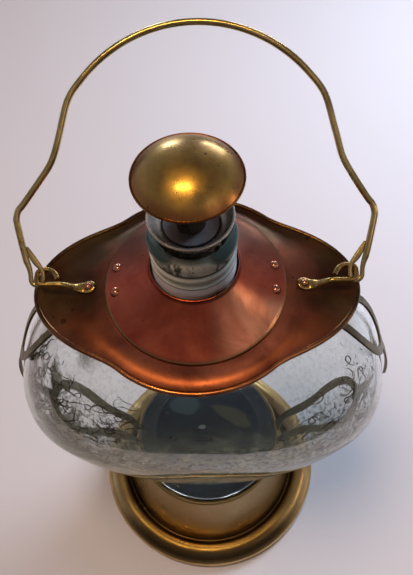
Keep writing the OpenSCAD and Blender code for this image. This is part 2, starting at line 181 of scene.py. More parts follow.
# ---------------------------------------------------------------- materials
class Look:
    """A node material, built by short calls that return sockets."""

    def __init__(self, name):
        self.material = bpy.data.materials.new(name)
        self.material.use_nodes = True
        self.tree = self.material.node_tree
        self.tree.nodes.clear()
        self.place = self.add("TexCoord").outputs["Object"]

    def add(self, kind, props=None, **inputs):
        n = self.tree.nodes.new("ShaderNode" + kind)
        for k, v in (props or {}).items():
            setattr(n, k, v)
        for k, v in inputs.items():
            self.put(n.inputs[k.replace("_", " ")], v)
        return n

    def put(self, socket, value):
        if isinstance(value, bpy.types.NodeSocket):
            self.tree.links.new(value, socket)
        else:
            if socket.type == "RGBA" and len(value) == 3:
                value = (*value, 1.0)
            socket.default_value = value

    def stretched(self, scale):
        return self.add("Mapping", Vector=self.place, Scale=scale).outputs["Vector"]

    def noise(self, scale, detail=3.0, rough=0.55, place=None, bend=0.0):
        return self.add("TexNoise", Vector=place or self.place, Scale=scale, Detail=detail,
                        Roughness=rough, Distortion=bend).outputs["Fac"]

    def cells(self, scale):
        return self.add("TexVoronoi", Vector=self.place, Scale=scale).outputs["Distance"]

    def math(self, what, *values, clamp=False):
        n = self.add("Math", {"operation": what, "use_clamp": clamp})
        for s, v in zip(n.inputs, values):
            self.put(s, v)
        return n.outputs[0]

    def times(self, a, b):
        return self.math("MULTIPLY", a, b)

    def most(self, a, b):
        return self.math("MAXIMUM", a, b)

    def plus(self, a, b, clamp=False):
        return self.math("ADD", a, b, clamp=clamp)

    def minus(self, a, b):
        return self.math("SUBTRACT", a, b)

    def range(self, value, low, high, to_low=0.0, to_high=1.0):
        """A soft step from to_low to to_high as the value goes from low to high."""
        n = self.add("MapRange", {"interpolation_type": "SMOOTHSTEP"})
        for s, v in zip(n.inputs, (value, low, high, to_low, to_high)):
            self.put(s, v)
        return n.outputs[0]

    def window(self, value, rise, full, fall, gone):
        """1 from full to fall, fading to 0 at rise and gone."""
        return self.times(self.range(value, rise, full), self.range(value, fall, gone, 1.0, 0.0))

    def blend(self, share, a, b):
        n = self.add("Mix", {"data_type": "RGBA"})
        self.put(n.inputs[0], share)
        self.put(n.inputs[6], a)
        self.put(n.inputs[7], b)
        return n.outputs[2]

    def axis(self, which):
        return self.add("SeparateXYZ", Vector=self.place).outputs[which]

    def radius(self):
        """Distance from the lamp's upright axis."""
        x, y = self.axis(0), self.axis(1)
        return self.math("SQRT", self.plus(self.times(x, x), self.times(y, y)))

    def bump(self, height, strength, distance, under=None):
        n = self.add("Bump", Height=height, Strength=strength, Distance=distance)
        if under:
            self.put(n.inputs["Normal"], under)
        return n.outputs["Normal"]

    def surface(self, shader):
        self.put(self.add("OutputMaterial").inputs["Surface"], shader)
        return self.material


BRUSHED = (700.0, 60.0, 240.0)  # stretch of the fine scratches
MICRO_BUMP, SCRATCH_DEPTH = 0.00008, 0.0001


def metal(name, light, dark, spot, rough=(0.2, 0.36), patch=45.0, spots=0.2, stain=None, scratch=0.05,
          wave=0.0, metallic=1.0):
    """Aged metal: patches of two tones, dark specks, fine scratches and uneven polish."""
    m = Look(name)
    patches = m.noise(patch, 6.0, 0.62, bend=0.6)
    colour = m.blend(m.range(patches, 0.28, 0.72), dark, light)
    lines = m.noise(1.0, 3.0, 0.65, place=m.stretched(BRUSHED))
    colour = m.blend(m.range(lines, 0.45, 0.8, 0.0, 0.22), colour, dark)
    if stain:
        stained, share = stain(m, patches)
        colour = m.blend(share, colour, stained)
    dust = m.range(m.noise(patch * 9, 4.0, 0.7), 0.56, 0.78, 0.0, spots)
    pit = m.math("LESS_THAN", m.cells(310.0), m.range(m.noise(55.0, 2.0), 0.5, 0.8, 0.0, spots))
    mark = m.most(dust, m.times(pit, 0.75))
    colour = m.blend(mark, colour, spot)
    gloss = m.range(m.noise(patch * 2.2, 4.0, 0.6), 0.25, 0.75, rough[0], rough[1])
    gloss = m.plus(gloss, m.times(mark, 0.3), clamp=True)
    bend = m.bump(m.noise(24.0, 1.0), 0.5, wave) if wave else None
    bend = m.bump(lines, scratch, SCRATCH_DEPTH, bend)
    bend = m.bump(m.minus(m.noise(900.0, 2.0), mark), 0.05, MICRO_BUMP, bend)
    shader = m.add("BsdfPrincipled", Base_Color=colour, Metallic=metallic, Roughness=gloss,
                   Normal=bend)
    return m.surface(shader.outputs[0])


def side_tarnish_and_shade(m, patches):
    """Dark brown and olive tone over the left and right lobes of the collar and along its back: partly
    tarnish, partly painted shade that dims the copper's reflections there.
    """
    off_centre = m.math("ABSOLUTE", m.minus(m.axis(0), 0.004))
    reach = m.plus(off_centre, m.times(m.minus(patches, 0.5), 0.05))
    front = m.range(m.axis(1), -0.034, -0.006, 0.35, 1.0)
    # Painted shade with tarnish: the lobes darken towards the back, and the back is darkened to dim its
    # highlight.
    lobes = m.times(m.range(reach, 0.028, 0.050, 0.0, 0.92), front)
    back = m.range(m.axis(1), 0.010, 0.026, 0.0, 0.93)
    clouds = m.range(m.noise(30.0, 3.0), 0.4, 0.6)
    tone = m.blend(clouds, (0.055, 0.022, 0.013), (0.085, 0.06, 0.03))
    return tone, m.most(lobes, back)


def red_edge(m, patches):
    """Red-brown tone low on the dome, and in patches over it."""
    low = m.range(m.axis(2), 0.2985, 0.3015, 0.75, 0.0)
    cloud = m.range(m.noise(34.0, 4.0, 0.65), 0.42, 0.66, 0.0, 0.35)
    return (0.30, 0.11, 0.045), m.most(low, cloud)


def cone_stain_and_highlight(m, patches):
    """Dark tarnish at the back, a painted highlight as a light patch at the front right, and a brassy lower
    edge.
    """
    x, y = m.axis(0), m.axis(1)
    back = m.times(m.range(y, -0.006, 0.022, 0.0, 0.9), m.range(patches, 0.2, 0.5, 0.6, 1.0))
    # Painted highlight: a light copper patch low on the front right of the cone, where a lamp's reflection
    # falls.
    painted_highlight = m.times(m.range(x, 0.001, 0.014), m.range(y, -0.014, -0.004, 1.0, 0.0))
    painted_highlight = m.times(painted_highlight, m.range(patches, 0.3, 0.6, 0.55, 0.95))
    edge = m.range(m.radius(), 0.0350, 0.0355, 0.0, 0.8)
    tone = m.blend(painted_highlight, (0.11, 0.045, 0.025), (0.76, 0.36, 0.23))
    tone = m.blend(edge, tone, (0.36, 0.25, 0.11))
    return tone, m.most(m.most(back, painted_highlight), edge)


def foot_tone_and_shade(m, patches):
    """Darker in the foot's groove, and painted shade as a dull brown over the front of its ring."""
    r = m.radius()
    groove = m.times(m.range(r, 0.0520, 0.0545), m.range(r, 0.0565, 0.0600, 0.92, 0.0))
    # Painted shade: the front of the ring is dulled to brown.
    front = m.times(m.range(m.axis(1), -0.052, -0.030, 0.85, 0.0),
                   m.window(r, 0.0590, 0.0620, 0.0675, 0.0698))
    drum = m.times(m.range(r, 0.0510, 0.0530, 1.0, 0.0), m.range(patches, 0.3, 0.7, 0.34, 0.52))
    return (0.05, 0.032, 0.016), m.most(m.most(groove, front), drum)


def disc_edge(m, patches):
    """Black line where the liner meets the dish."""
    return (0.012, 0.012, 0.012), m.range(m.radius(), 0.0096, 0.0100, 0.0, 0.95)


def plain(name, light, dark, scale, rough, stretched=None, depth=0.3):
    """A matt material with two tones and a rough face."""
    m = Look(name)
    place = m.stretched(stretched) if stretched else m.place
    grain = m.noise(scale, 6.0, 0.65, place=place)
    colour = m.blend(m.range(grain, 0.3, 0.7), dark, light)
    shader = m.add("BsdfPrincipled", Base_Color=colour, Roughness=rough,
                   Normal=m.bump(grain, depth, 0.0004))
    return m.surface(shader.outputs[0])


GLASS_IOR, FILM_GLOW = 1.5, 0.75
LAMP_TINT = (0.74, 0.76, 0.79, 1)  # of the light that a lamp sends through the glass


def glass(name, tint, film=None, frost=None, shine=(0.6, 0.6, 0.6, 1)):
    """Clear glass that lets lamps through, with an optional film or frosting over part of it.

    A film also glows with the light behind it; frosting doesn't.
    """
    m = Look(name)
    smear = m.range(m.noise(38.0, 4.0, 0.6), 0.45, 0.8, 0.0, 0.05)
    ripple = m.bump(m.noise(22.0, 2.0), 0.25, 0.0012)
    clear = m.add("BsdfPrincipled", Base_Color=tint, Roughness=smear, Normal=ripple)
    clear.inputs["Transmission Weight"].default_value = 1.0
    clear.inputs["IOR"].default_value = GLASS_IOR
    clear.inputs["Specular Tint"].default_value = shine
    shader = clear.outputs[0]
    if film or frost:
        tone, share = (film or frost)(m)
        dull = m.add("BsdfPrincipled", Base_Color=tone, Roughness=0.6).outputs[0]
        if film:
            glow = m.add("MixShader", Fac=FILM_GLOW)
            m.put(glow.inputs[1], dull)
            m.put(glow.inputs[2], m.add("BsdfTranslucent", Color=tone).outputs[0])
            dull = glow.outputs[0]
        n = m.add("MixShader", Fac=share)
        m.put(n.inputs[1], shader)
        m.put(n.inputs[2], dull)
        shader = n.outputs[0]
    lamp = m.add("LightPath").outputs["Is Shadow Ray"]
    through = m.add("BsdfTransparent", Color=LAMP_TINT)
    n = m.add("MixShader", Fac=lamp)
    m.put(n.inputs[1], shader)
    m.put(n.inputs[2], through.outputs[0])
    return m.surface(n.outputs[0])


def shaded_pad_with_reflections(name):
    """Pad painted dark blue as shade under the glass floor with a bluish reflection, with pale and ochre
    blots that are painted reflections.
    """
    m = Look(name)
    grain = m.noise(120.0, 5.0, 0.65)
    colour = m.blend(m.range(grain, 0.35, 0.65), (0.003, 0.009, 0.018), (0.008, 0.022, 0.036))
    pad_z, reach_z = 0.058, 0.02
    # Painted reflections: pale and ochre blots, seen through the glass floor.
    painted_reflections = (((-0.014, 0.018), (0.0105, 0.0065), 0.0, (0.060, 0.088, 0.092)),
             ((0.016, 0.010), (0.0130, 0.0048), -0.53, (0.105, 0.090, 0.048)),
             ((-0.003, 0.003), (0.0022, 0.0012), 0.0, (0.22, 0.24, 0.22)))
    for place, size, turn, tone in painted_reflections:
        spot = m.add("Mapping", {"vector_type": "TEXTURE"}, Location=(*place, pad_z),
                     Rotation=(0, 0, turn), Scale=(*size, reach_z))
        m.put(spot.inputs["Vector"], m.place)
        reach = m.add("VectorMath", {"operation": "LENGTH"})
        m.put(reach.inputs[0], spot.outputs["Vector"])
        ragged = m.times(m.minus(grain, 0.5), 1.2)
        edge = m.plus(reach.outputs["Value"], ragged)
        colour = m.blend(m.range(edge, 0.8, 1.15, 0.85, 0.0), colour, tone)
    shader = m.add("BsdfPrincipled", Base_Color=colour, Roughness=0.6, Normal=m.bump(grain, 0.4, 0.0006))
    return m.surface(shader.outputs[0])


def oil_film_and_reflections(m):
    """Brown film inside the font, thickest low down at the front, and olive blots at the left that are a
    painted reflection of the straps.
    """
    x, y, z = m.axis(0), m.axis(1), m.axis(2)
    cloud = m.range(m.noise(42.0, 6.0, 0.7, bend=1.2), 0.42, 0.62)
    dust = m.range(m.noise(420.0, 3.0, 0.7), 0.49, 0.60)
    low = m.times(m.window(z, 0.074, 0.086, 0.140, 0.190), m.range(y, -0.025, 0.02, 1.0, 0.15))
    film = m.times(low, m.plus(0.3, m.times(cloud, 0.45)))
    specks = m.times(low, m.times(dust, 0.7))
    # Painted reflection: olive blots at the left stand for the straps mirrored in the glass.
    side = m.times(m.range(x, -0.072, -0.030, 1.0, 0.0), m.window(z, 0.100, 0.122, 0.135, 0.175))
    painted_reflections = m.times(side, m.range(m.noise(26.0, 5.0, 0.65, bend=0.8), 0.42, 0.52, 0.0, 0.80))
    share = m.plus(m.plus(film, specks), m.plus(painted_reflections, 0.02), clamp=True)
    tone = m.blend(cloud, (0.31, 0.285, 0.17), (0.47, 0.44, 0.29))
    tone = m.blend(m.times(dust, low), tone, (0.03, 0.02, 0.01))
    return m.blend(side, tone, (0.17, 0.155, 0.09)), share


BAND_TOP, RING_TOP, BULGE_BOTTOM, LIP_BOTTOM = 0.2543, 0.2612, 0.2614, 0.2684  # on the font's neck


def neck_frost_and_shade(m):
    """Neck of the font: ground white band, pale ring, hazy bulge with dark upright streaks of painted
    refraction, and a dark lip of painted shade under the dish, teal at its sides.
    """
    z = m.axis(2)
    band = m.window(z, 0.2472, 0.2480, BAND_TOP - 0.0003, BAND_TOP)
    streak = m.range(m.noise(1.0, 4.0, 0.7, place=m.stretched((90.0, 90.0, 900.0))), 0.3, 0.6, 0.75, 1.0)
    # Painted refraction: dark upright streaks on the bulge.
    refraction_streaks = m.range(m.noise(1.0, 4.0, 0.7, place=m.stretched((300.0, 300.0, 9.0))), 0.48, 0.60)
    ring = m.window(z, BAND_TOP, BAND_TOP + 0.0003, RING_TOP - 0.0004, RING_TOP)
    # Painted shade: the lip under the dish is dark, teal and reaching lower at its sides.
    flank = m.range(m.math("ABSOLUTE", m.axis(0)), 0.005, 0.011)
    lip = m.range(m.plus(z, m.times(flank, 0.0022)), LIP_BOTTOM, 0.2700)
    bulge = m.times(m.range(z, RING_TOP, 0.2618), m.minus(1.0, lip))
    grooves = m.most(m.math("COMPARE", z, BAND_TOP, 0.0002),
                     m.math("COMPARE", z, BULGE_BOTTOM, 0.0004))
    haze = m.most(m.times(bulge, 0.8), m.times(ring, 0.7))
    haze = m.times(haze, m.range(m.axis(1), -0.006, 0.0, 1.0, 0.35))
    share = m.most(haze, m.times(lip, 0.8))
    share = m.most(m.times(band, streak), share)
    share = m.most(share, m.times(grooves, 0.85))
    tone = m.blend(m.times(bulge, refraction_streaks), (0.62, 0.62, 0.52), (0.05, 0.045, 0.032))
    tone = m.blend(lip, tone, m.blend(flank, (0.060, 0.055, 0.045), (0.015, 0.042, 0.040)))
    tone = m.blend(band, tone, (0.97, 0.97, 0.97))
    return m.blend(grooves, tone, (0.045, 0.022, 0.012)), share


SOOT = (0.025, 0.016, 0.010)
BRASS, BRASS_DARK = (0.60, 0.42, 0.17), (0.36, 0.24, 0.09)
copper_plate = metal("copper_plate", (0.52, 0.175, 0.105), (0.22, 0.065, 0.042), SOOT, stain=side_tarnish_and_shade,
                     rough=(0.32, 0.46), wave=0.0009, spots=0.45, scratch=0.12)
copper_cone = metal("copper_cone", (0.60, 0.15, 0.085), (0.38, 0.075, 0.045), SOOT, rough=(0.25, 0.38),
                    stain=cone_stain_and_highlight, wave=0.0005, spots=0.22)
copper_rim = metal("copper_rim", (0.80, 0.34, 0.15), (0.30, 0.10, 0.05), SOOT, rough=(0.16, 0.3),
                   stain=side_tarnish_and_shade)
rivet_copper = metal("rivet_copper", (0.72, 0.36, 0.25), (0.42, 0.17, 0.10), SOOT, rough=(0.16, 0.28),
                     patch=240.0)
dome_brass = metal("dome_brass", (0.56, 0.36, 0.10), (0.33, 0.21, 0.07), SOOT, rough=(0.21, 0.37),
                   patch=60.0, spots=0.3, stain=red_edge)
foot_brass = metal("foot_brass", (0.70, 0.51, 0.23), (0.48, 0.33, 0.14), SOOT, rough=(0.26, 0.38), patch=30.0,
                   spots=0.12, stain=foot_tone_and_shade)
lug_brass = metal("lug_brass", (0.62, 0.44, 0.16), (0.28, 0.19, 0.06), SOOT, rough=(0.22, 0.36),
                  patch=150.0)
bail_brass = metal("bail_brass", (0.70, 0.56, 0.28), (0.40, 0.30, 0.12), (0.12, 0.08, 0.04),
                   rough=(0.14, 0.28), patch=70.0)
bronze = metal("bronze", (0.24, 0.20, 0.115), (0.12, 0.095, 0.05), SOOT, rough=(0.36, 0.5), patch=120.0)
nickel = metal("nickel", (0.78, 0.75, 0.66), (0.52, 0.48, 0.39), (0.2, 0.17, 0.12), rough=(0.2, 0.34),
               patch=120.0, metallic=0.8)
liner_steel = metal("liner_steel", (0.34, 0.35, 0.37), (0.22, 0.23, 0.25), SOOT, rough=(0.3, 0.44),
                    patch=160.0, metallic=0.5, stain=disc_edge)
stem_brass = metal("stem_brass", (0.16, 0.13, 0.08), (0.08, 0.065, 0.04), SOOT, patch=160.0)
clear_glass = glass("clear_glass", (0.93, 0.97, 0.97, 1))
filmed_glass = glass("filmed_glass", (0.95, 0.98, 0.97, 1), film=oil_film_and_reflections)
neck_glass = glass("neck_glass", (0.12, 0.20, 0.175, 1), frost=neck_frost_and_shade, shine=(0.25, 0.3, 0.3, 1))
felt = plain("felt", (0.035, 0.08, 0.055), (0.015, 0.04, 0.03), 1400.0, 0.95, depth=0.6)
# Painted shade: the weight is dark blue for the dark inside of the foot with a bluish reflection over it.
iron = plain("iron", (0.02, 0.045, 0.10), (0.01, 0.02, 0.05), 500.0, 0.5, depth=0.4)
pad_painted_shade = shaded_pad_with_reflections("pad_painted_shade")
rubber = plain("rubber", (0.03, 0.028, 0.026), (0.012, 0.011, 0.010), 700.0, 0.8)
cork = plain("cork", (0.20, 0.15, 0.10), (0.05, 0.04, 0.03), 520.0, 0.85, depth=0.7)
cotton = plain("cotton", (0.78, 0.72, 0.60), (0.52, 0.46, 0.36), 1.0, 0.95,
               stretched=(900.0, 900.0, 260.0), depth=0.8)
grime = plain("grime", (0.05, 0.035, 0.02), (0.012, 0.009, 0.006), 900.0, 0.8)
burner_brass = metal("burner_brass", BRASS, BRASS_DARK, SOOT, patch=160.0)

# ---------------------------------------------------------------- brass foot
FOOT_R, DRUM_TOP_R, DRUM_H = 70.0, 44.2, 58.0
LEDGE_Z, LEDGE_R, WALL = 55.5, 35.0, 1.2
BEAD_R = 3.8
foot_outline = (arc(FOOT_R - BEAD_R, BEAD_R, BEAD_R, -90, 62, 24)
                + curve([(67.2, 7.5), (64.6, 9.6), (61.5, 10.6), (58.4, 10.3), (56.6, 9.1), (55.4, 8.6),
                         (54.3, 9.5), (53.3, 12.5), (51.2, 22), (48.6, 34), (46.2, 45),
                         (DRUM_TOP_R, LEDGE_Z - 1)], 8))
foot_profile = ([tuple(p) for p in foot_outline] + arc(DRUM_TOP_R - 0.8, DRUM_H - 1.7, 1.2, -10, 180, 14)
                + [(DRUM_TOP_R - 2, LEDGE_Z), (LEDGE_R, LEDGE_Z), (LEDGE_R, LEDGE_Z - WALL)]
                + [tuple(p) for p in beside(foot_outline, WALL)[::-1]])
piece("foot", *lathe(foot_profile, 256), "lamp", foot_brass, "foot_brass", ["base_shell"])

# ---------------------------------------------------------------- glass font
HALF_X, HALF_Y, MID_Z, TOP_Z = 88.8, 49.0, 143.5, 226.8
PLAN, LOW, GLASS_WALL = 2.6, 1.5, 3.0
NECK_R, BORE_R, LIP_Z = 16.0, 12.6, 269.5
WAIST_R, WAIST_Z, FLOOR_Z, SHOULDER_R = 31.5, 66.5, 69.0, 17.0
GLASS_FOOT_R, GLASS_FOOT_H = 41.8, 4.5
PAD_GAP = 0.05  # keeps the glass's underside off the pad's face
NECK_BEAD_Z, NECK_BEAD_R, BULGE_Z, BULGE_R = 259.1, 1.1, 266.4, 3.05
FONT_SIDES = 224
CLEAR, FILMED, FROSTED = 0, 1, 2  # material slots of the glass


def font_round(t):
    """Share of the full width at meridian angle t, in degrees from -90 at the waist to 90 at the shoulder."""
    return math.cos(math.radians(t)) ** (1 if t > 0 else 2 / LOW)


def font_height(t):
    s = math.sin(math.radians(t))
    return mix(MID_Z, TOP_Z, s) if t > 0 else mix(MID_Z, WAIST_Z, (-s) ** (2 / LOW))


def font_width(half, t):
    return mix(SHOULDER_R if t > 0 else WAIST_R, half, font_round(t))


def oval_point(half_x, half_y, z, k, a):
    """Point at turn a, in radians, of a ring that goes from a circle to the font's plan as k goes to 1."""
    e = 2 / mix(2, PLAN, k)
    c, s = math.cos(a), math.sin(a)
    return (half_x * math.copysign(abs(c) ** e, c), half_y * math.copysign(abs(s) ** e, s), z)


def skin_point(inset, t, a):
    """Point of the font's skin, moved inwards by inset, at meridian angle t in degrees."""
    return oval_point(font_width(HALF_X, t) - inset, font_width(HALF_Y, t) - inset,
                      font_height(t) - inset * math.sin(math.radians(t)), font_round(t), a)


def circle(r, z):
    return [oval_point(r, r, z, 0, 2 * math.pi * i / FONT_SIDES) for i in range(FONT_SIDES)]


def font_skin(inset, t):
    return [skin_point(inset, t, 2 * math.pi * i / FONT_SIDES) for i in range(FONT_SIDES)]


def make_glass():
    meridian = [-84 + i * 3 for i in range(57)]
    foot = ([(r, DRUM_H + PAD_GAP) for r in (2, 20, GLASS_FOOT_R - 2, GLASS_FOOT_R - 1)]
            + arc(GLASS_FOOT_R - 0.8, DRUM_H + PAD_GAP + 0.8, 0.8, -70, 0, 4)
            + arc(GLASS_FOOT_R - 1.7, DRUM_H + GLASS_FOOT_H - 1.7, 1.7, 0, 80, 5)
            + [(q[0], q[1]) for q in curve([(GLASS_FOOT_R - 3, DRUM_H + 4.6), (WAIST_R + 4, DRUM_H + 5.4),
                                            (WAIST_R + 1, DRUM_H + 6.8), (WAIST_R, WAIST_Z - 0.6)], 4)])
    neck = (curve([(SHOULDER_R, TOP_Z + 1), (16.2, TOP_Z + 3), (NECK_R, TOP_Z + 6)], 4)
            + [(NECK_R, 240), (NECK_R, 248), (NECK_R, 254.4)]
            + curve([(NECK_R, 254.8), (15.4, 255.5), (15.3, 256.2)], 4)
            + arc(NECK_R - 0.9, NECK_BEAD_Z, NECK_BEAD_R, -75, 75, 10)
            + [(NECK_R - 0.7, 262.3), (NECK_R - 0.7, 262.8)]
            + arc(NECK_R - 2.6, BULGE_Z, BULGE_R, -62, 90, 18)
            + [(BORE_R + 0.4, LIP_Z - 0.1), (BORE_R, LIP_Z - 0.6)])
    inside_floor = [(WAIST_R - 5, FLOOR_Z + 0.2), (WAIST_R - 8, FLOOR_Z), (12, FLOOR_Z + 0.4),
                    (2, FLOOR_Z + 1)]
    rings = [circle(r, z) for r, z in foot] + [font_skin(0, t) for t in meridian]
    neck_start = len(rings)
    rings += [circle(r, z) for r, z in neck]
    inner_start = len(rings)
    rings += [circle(BORE_R, z) for z in (262, 255, 248, 240, 232)]
    rings += [circle(12.3, 228.5), circle(12.0, 225.2)]
    font_start = len(rings)
    rings += [font_skin(GLASS_WALL, t) for t in meridian[::-1]]
    rings += [circle(r, z) for r, z in inside_floor]
    points, faces = loft(rings)
    glass_piece = piece("glass_body", points, faces, "lamp", clear_glass, "glass", ["glass_font"], crease=60)
    glass_piece.data.materials.append(filmed_glass)
    glass_piece.data.materials.append(neck_glass)
    frost_from, frost_to = neck_start + 8, inner_start + 4
    for f in glass_piece.data.polygons:
        ring = min(v // FONT_SIDES for v in f.vertices)
        if frost_from <= ring < frost_to:
            f.material_index = FROSTED
        else:
            f.material_index = FILMED if ring >= font_start else CLEAR


make_glass()

# ---------------------------------------------------------------- copper collar
COLLAR_SIDE, COLLAR_FRONT, LOBE_TURN = 64.8, 45.8, 50
COLLAR_Z, DROOP, CONE_R, MOUTH_R, CONE_TOP = 233.0, 3.0, 36.0, 16.9, 249.2
SCOOP, SHEET, RIM_WIRE_R = 1.3, 1.0, 1.1


def collar_edge(a):
    """Distance from the axis to the collar's edge in direction a, in radians."""
    turn = math.degrees(math.acos(abs(math.cos(a))))
    return mix(COLLAR_SIDE, COLLAR_FRONT, smooth(turn / LOBE_TURN))


def collar_height(r, a):
    u = max(0.0, (r - CONE_R) / (collar_edge(a) - CONE_R))
    return COLLAR_Z - DROOP * u - SCOOP * math.sin(math.pi * min(1.0, u))


def make_plate():
    sides = 320
    # Three radii in millimetres, then shares of the way from the cone to the edge.
    radii = [24, 30, CONE_R + 0.01] + [i / 14 for i in range(1, 15)]

    def ring(k, drop):
        out = []
        for i in range(sides):
            a = 2 * math.pi * i / sides
            r = radii[k] if k < 3 else mix(CONE_R, collar_edge(a), radii[k])
            out.append((r * math.cos(a), r * math.sin(a), collar_height(r, a) - drop))
        return out

    outwards = list(range(len(radii)))
    rings = [ring(k, SHEET) for k in outwards] + [ring(k, 0) for k in outwards[::-1]]
    piece("plate", *loft(rings, closed=True), "lamp", copper_plate, "copper", ["collar_plate"])
    path = []
    for i in range(sides):
        a = 2 * math.pi * i / sides
        r = collar_edge(a) - 0.3
        path.append((r * math.cos(a), r * math.sin(a), collar_height(r, a) - SHEET / 2))
    wire = swept(path, [Z_AXIS] * sides, [(RIM_WIRE_R, RIM_WIRE_R)] * sides, 18, closed=True)
    piece("plate_edge", *wire, "lamp", copper_rim, "copper", ["collar_rim_wire"])


make_plate()


def cone_height(r):
    k = (CONE_R - r) / (CONE_R - MOUTH_R)
    return mix(COLLAR_Z + 1.6, CONE_TOP - 0.4, k) - 4 * k * (1 - k)


face_radii = [mix(CONE_R - 1.0, MOUTH_R + 0.9, i / 30) for i in range(31)]
under_radii = [mix(MOUTH_R + 0.8, CONE_R - 0.9, i / 14) for i in range(15)]
cone_face = ([(CONE_R, COLLAR_Z + 0.8)] + arc(CONE_R - 0.6, COLLAR_Z + 1.05, 0.6, 0, 60, 4)
             + [(r, cone_height(r)) for r in face_radii]
             + arc(MOUTH_R + 0.42, CONE_TOP - 0.42, 0.42, 60, 180, 6))
cone_under = ([(MOUTH_R, CONE_TOP - 1.6)] + [(r - 0.3, cone_height(r) - 0.9) for r in under_radii]
              + [(CONE_R - 1.6, COLLAR_Z), (CONE_R, COLLAR_Z)])
piece("cone", *lathe(cone_face + cone_under, 256), "lamp", copper_cone, "copper", ["collar_cone"])


def rivet_head(r, h):
    """A domed head of radius r and height h, with its seat at height 0."""
    ball = (r * r + h * h) / (2 * h)
    tip = math.degrees(math.asin(r / ball))
    crown = arc(0, h - ball, ball, 90 - tip, 90, 12)[:-1] + [(0, h)]
    return lathe([(0, -0.5), (r - 0.15, -0.5), (r, -0.3)] + crown, 40)


def shank(length):
    return lathe([(0, 0), (SHANK_R, 0), (SHANK_R, length), (0, length)], 32)


def placed(mesh, x, y, z, turn=0.0, slope=0.0):
    spin = Matrix.Rotation(turn, 3, "Z") @ Matrix.Rotation(slope, 3, "Y")
    return [tuple(spin @ Vector(p) + Vector((x, y, z))) for p in mesh[0]], mesh[1]


RIVET_X, RIVET_Y, LUG_RIVET_X, SHANK_R = 31.5, 5.6, 43.2, 1.2
rivet_r = math.hypot(RIVET_X, RIVET_Y)
rivet_slope = math.atan((cone_height(rivet_r - 2) - cone_height(rivet_r + 2)) / 4)
rivet_places = [(sx * RIVET_X, sy * RIVET_Y) for sx in (-1, 1) for sy in (-1, 1)]
heads = [placed(rivet_head(2.1, 1.4), x, y, cone_height(rivet_r), math.atan2(y, x), rivet_slope)
         for x, y in rivet_places]
shanks = [placed(shank(6), x, y, COLLAR_Z - 3.4) for x, y in rivet_places]
piece("cone_rivet_set", *join(heads + shanks), "lamp", rivet_copper, "rivet_copper", ["cone_rivets"])
lug_plate_z = collar_height(LUG_RIVET_X, 0)
lug_heads = [placed(rivet_head(1.8, 1.2), s * LUG_RIVET_X, 0, lug_plate_z + 1.3) for s in (-1, 1)]
lug_shanks = [placed(shank(3.2), s * LUG_RIVET_X, 0, lug_plate_z - SHEET - 0.8) for s in (-1, 1)]
piece("lug_rivet_set", *join(lug_heads + lug_shanks), "lamp", rivet_copper, "rivet_copper", ["lug_rivets"])

# ---------------------------------------------------------------- straps
STRAP_GAP, STRAP_HALF_W, LOW_STRAP_HALF_W, STRAP_HALF_T = 1.7, 1.9, 2.4, 0.5
LEG_GAP_Y, FORK_EDGE, LEG_TURN, LAP_TURN = 7, 1.4, 22, 22


def meridian_point(t):
    return np.array([font_width(HALF_X, t), 0.0, font_height(t)])


def outward(t):
    v = meridian_point(t + 1) - meridian_point(t - 1)
    v /= np.linalg.norm(v)
    return np.array([v[2], 0.0, -v[0]])


def strap_centre(t):
    return meridian_point(t) + outward(t) * STRAP_GAP


def make_strap(name, side, node, way, half_w, root, root_up, leg_t, wide, fork, spread, tongue, lift):
    """A forked strap; way is 1 for the upper one, whose legs come down from the collar, and -1 for the lower.

    Angles are meridian angles: leg_t of the legs' ends, wide of the broadest place, fork of the join.
    spread is half the distance between the legs, tongue a list of (half width, lowest angle), and
    lift how fast the tongue rises off the glass past LAP_TURN.
    """
    turn = [i * 7.5 for i in range(11)]

    def at_turn(a):
        return wide - (wide - fork) * math.sin(math.radians(a))

    legs = [mix(leg_t[0], leg_t[1], i / 10) for i in range(11)]
    first = [np.array(q, float) for q in root]
    straight = [strap_centre(t) + [0, mix(spread, LEG_GAP_Y, smooth((abs(t) - abs(wide)) / LEG_TURN)), 0]
                for t in legs]
    bridge = curve(first[1:] + straight[:1], 4)[1:-1]
    leg = first[:2] + [p for p in bridge if np.linalg.norm(p - first[1]) > 0.1] + straight
    leg += [strap_centre(at_turn(a)) + [0, spread * math.cos(math.radians(a)), 0] for a in turn]
    lead = len(leg) - len(straight) - len(turn)
    ends = [np.array(root_up[0], float), outward(legs[0])]
    up = ([mix(ends[0], ends[1], smooth(i / lead)) for i in range(lead)] + [outward(t) for t in legs]
          + [outward(at_turn(a)) for a in turn])
    steps = [i / 8 for i in range(9)]
    both = [(s, u) for s in (1, -1) for u in (steps if s > 0 else steps[::-1])]

    def leg_ring(i):
        along = leg[min(i + 1, len(leg) - 1)] - leg[max(i - 1, 0)]
        along = along / np.linalg.norm(along)
        inwards = way * np.cross(along, up[i])
        inwards /= np.linalg.norm(inwards)
        top = way * np.cross(inwards, along)
        return [leg[i] + inwards * half_w * (1 - 2 * u) + top * STRAP_HALF_T * s for s, u in both]

    def tongue_ring(y, low):
        spots = [(s, mix(fork + way * FORK_EDGE, low, u)) for s, u in both]
        return [strap_centre(t) + [0, y, 0]
                + outward(t) * (STRAP_HALF_T * s + lift * max(0, LAP_TURN - way * t)) for s, t in spots]

    half = [leg_ring(i) for i in range(len(leg))] + [tongue_ring(y, low) for y, low in curve(tongue, 3)]
    rings = half + [[p * np.array([1, -1, 1]) for p in r] for r in half[-2::-1]]
    rings = [[p * np.array([side, 1, 1]) for p in r] for r in rings]
    points, faces = loft(rings)
    if side * way > 0:
        faces = [f[::-1] for f in faces]
    return piece(name, points, faces, "lamp", bronze, "bronze", [node], crease=50)


